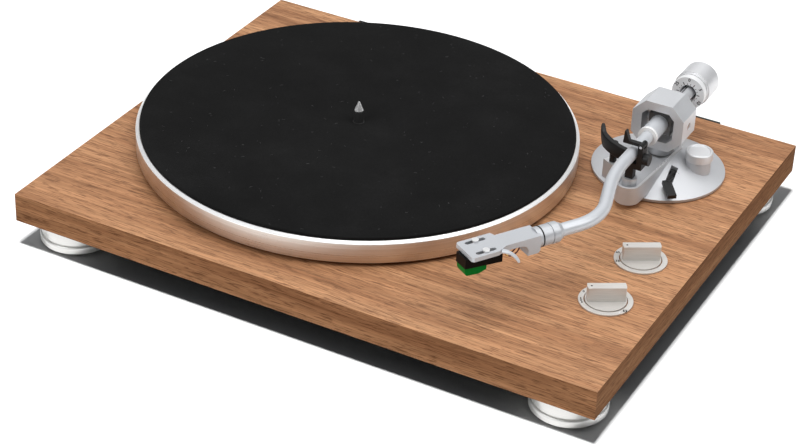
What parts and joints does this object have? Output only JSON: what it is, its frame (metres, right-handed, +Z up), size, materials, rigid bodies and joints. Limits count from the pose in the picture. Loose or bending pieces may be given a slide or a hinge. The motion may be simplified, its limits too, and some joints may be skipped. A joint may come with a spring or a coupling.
{
  "type": "belt-drive bluetooth turntable",
  "caption": "Belt-drive turntable with wireless output: walnut plinth on metal feet, felt-covered platter, S-shaped gimbal arm with counterweight, cue lift and turn-knob controls.",
  "frame": {"origin": "on the floor under the centre of the whole box", "axes": "+X to the listener's right along the front edge, +Y to the rear, +Z up"},
  "size_m": [0.42, 0.355, 0.0962],
  "materials": {
    "walnut": "satin",
    "black_plastic": "satin",
    "dark_steel": "satin",
    "foot_metal": "satin",
    "rubber": "matte",
    "bright_steel": "polished",
    "platter_alu": "satin",
    "felt": "matte",
    "housing_metal": "matte",
    "brass": "polished",
    "satin_silver": "satin",
    "tube_grey": "satin",
    "cartridge_black": "gloss",
    "stylus_green": "gloss",
    "wire": "satin",
    "knob_alu": "satin",
    "switch_blue": "satin",
    "board_green": "satin",
    "module_can": "satin",
    "switch_white": "satin",
    "weight_steel": "satin"
  },
  "bodies": {
    "chassis": {"plinth": "walnut", "bottom_cover": "black_plastic", "cover_screws": "dark_steel", "foot_front_left": "foot_metal", "foot_front_right": "foot_metal", "foot_rear_left": "foot_metal", "foot_rear_right": "foot_metal", "foot_pads": "rubber", "foot_bolts": "bright_steel", "bearing_housing": "housing_metal", "bearing_bush": "brass", "thrust_ball": "bright_steel", "deck_screws": "dark_steel", "drive_belt": "rubber", "motor": "bright_steel", "motor_plate": "housing_metal", "motor_grommets": "rubber", "arm_base": "satin_silver", "arm_base_screws": "dark_steel", "arm_bearing_housing": "housing_metal", "arm_bearings": "bright_steel", "arm_rest": "black_plastic", "lock_pin": "bright_steel", "knob_bezels": "knob_alu", "rotary_switches": "switch_blue", "circuit_board": "board_green", "wireless_module": "module_can", "rear_panel": "black_plastic", "phono_jacks": "brass", "earth_terminal": "bright_steel", "power_inlet": "black_plastic", "hinge_sockets": "black_plastic"},
    "platter_body": {"platter": "platter_alu", "slip_mat": "felt", "spindle": "bright_steel"},
    "pulley_body": {"motor_pulley": "brass"},
    "gimbal_body": {"gimbal_yoke": "satin_silver", "pivot_screws": "bright_steel"},
    "arm_body": {"arm_hub": "satin_silver", "arm_tube": "tube_grey", "rear_stub": "satin_silver", "headshell": "tube_grey", "shell_washer": "rubber", "finger_lift": "tube_grey", "cartridge_body": "cartridge_black", "stylus_holder": "stylus_green", "cantilever": "bright_steel", "cartridge_screws": "bright_steel", "lead_wires": "wire"},
    "collar_body": {"locking_collar": "tube_grey"},
    "weight_carriage": {"weight_sleeve": "black_plastic"},
    "weight_body": {"counterweight": "weight_steel"},
    "dial_body": {"force_dial": "satin_silver"},
    "skate_body": {"anti_skate_knob": "satin_silver"},
    "lock_body": {"arm_lock": "black_plastic"},
    "lever_body": {"cue_lever": "black_plastic"},
    "lifter_body": {"arm_lifter": "black_plastic"},
    "start_body": {"start_knob": "knob_alu"},
    "speed_body": {"speed_knob": "knob_alu"},
    "switch_body": {"output_switch": "switch_white"}
  },
  "joints": [
    {"name": "platter_spin", "type": "hinge", "parent": "chassis", "child": "platter_body", "pos_m": [-0.0493, -0.0027, 0.04], "axis": [0, 0, 1], "continuous": true},
    {"name": "pulley_spin", "type": "hinge", "parent": "chassis", "child": "pulley_body", "pos_m": [-0.1463, 0.0533, 0.04], "axis": [0, 0, 1], "continuous": true},
    {"name": "tonearm_swing", "type": "hinge", "parent": "chassis", "child": "gimbal_body", "pos_m": [0.13959, 0.08049, 0.04], "axis": [0, 0, -1], "range_deg": [0, 44]},
    {"name": "tonearm_tilt", "type": "hinge", "parent": "gimbal_body", "child": "arm_body", "pos_m": [0.13959, 0.08049, 0.079], "axis": [-1, 0, 0], "range_deg": [-0.5, 2.25]},
    {"name": "collar_turn", "type": "hinge", "parent": "arm_body", "child": "collar_body", "pos_m": [0.13932, -0.08493, 0.079], "axis": [-0.5225, -0.8526, 0], "range_deg": [0, 60]},
    {"name": "weight_slide", "type": "slide", "parent": "arm_body", "child": "weight_carriage", "axis": [0, 1, 0], "range_m": [-0.003, 0.003]},
    {"name": "weight_turn", "type": "hinge", "parent": "weight_carriage", "child": "weight_body", "pos_m": [0.13959, 0.13749, 0.079], "axis": [0, 1, 0], "range_deg": [-361, 361]},
    {"name": "dial_turn", "type": "hinge", "parent": "weight_body", "child": "dial_body", "pos_m": [0.13959, 0.12649, 0.079], "axis": [0, 1, 0], "range_deg": [-180, 180]},
    {"name": "anti_skate_turn", "type": "hinge", "parent": "chassis", "child": "skate_body", "pos_m": [0.16709, 0.08249, 0.05], "axis": [0, 0, 1], "range_deg": [0, 270]},
    {"name": "arm_lock_turn", "type": "hinge", "parent": "chassis", "child": "lock_body", "pos_m": [0.14639, 0.02749, 0.0869], "axis": [0, 1, 0], "range_deg": [0, 100]},
    {"name": "cue_lever_turn", "type": "hinge", "parent": "chassis", "child": "lever_body", "pos_m": [0.15609, 0.06549, 0.0495], "axis": [-1, 0, 0], "range_deg": [-8, 36]},
    {"name": "lifter_slide", "type": "slide", "parent": "chassis", "child": "lifter_body", "axis": [0, 0, 1], "range_m": [-0.0007, 0.003]},
    {"name": "start_turn", "type": "hinge", "parent": "chassis", "child": "start_body", "pos_m": [0.175, -0.087, 0.04], "axis": [0, 0, -1], "range_deg": [0, 40]},
    {"name": "speed_turn", "type": "hinge", "parent": "chassis", "child": "speed_body", "pos_m": [0.175, -0.032, 0.04], "axis": [0, 0, -1], "range_deg": [0, 60]},
    {"name": "output_switch_slide", "type": "slide", "parent": "chassis", "child": "switch_body", "axis": [1, 0, 0], "range_m": [0, 0.004]}
  ],
  "couplings": [
    {"joint": "pulley_spin", "follows": "platter_spin", "ratio": 13.143},
    {"joint": "cue_lever_turn", "follows": "tonearm_tilt", "ratio": 16},
    {"joint": "lifter_slide", "follows": "tonearm_tilt", "m_per_rad": 0.076394},
    {"joint": "weight_turn", "follows": "weight_slide", "rad_per_m": 2094.4}
  ]
}
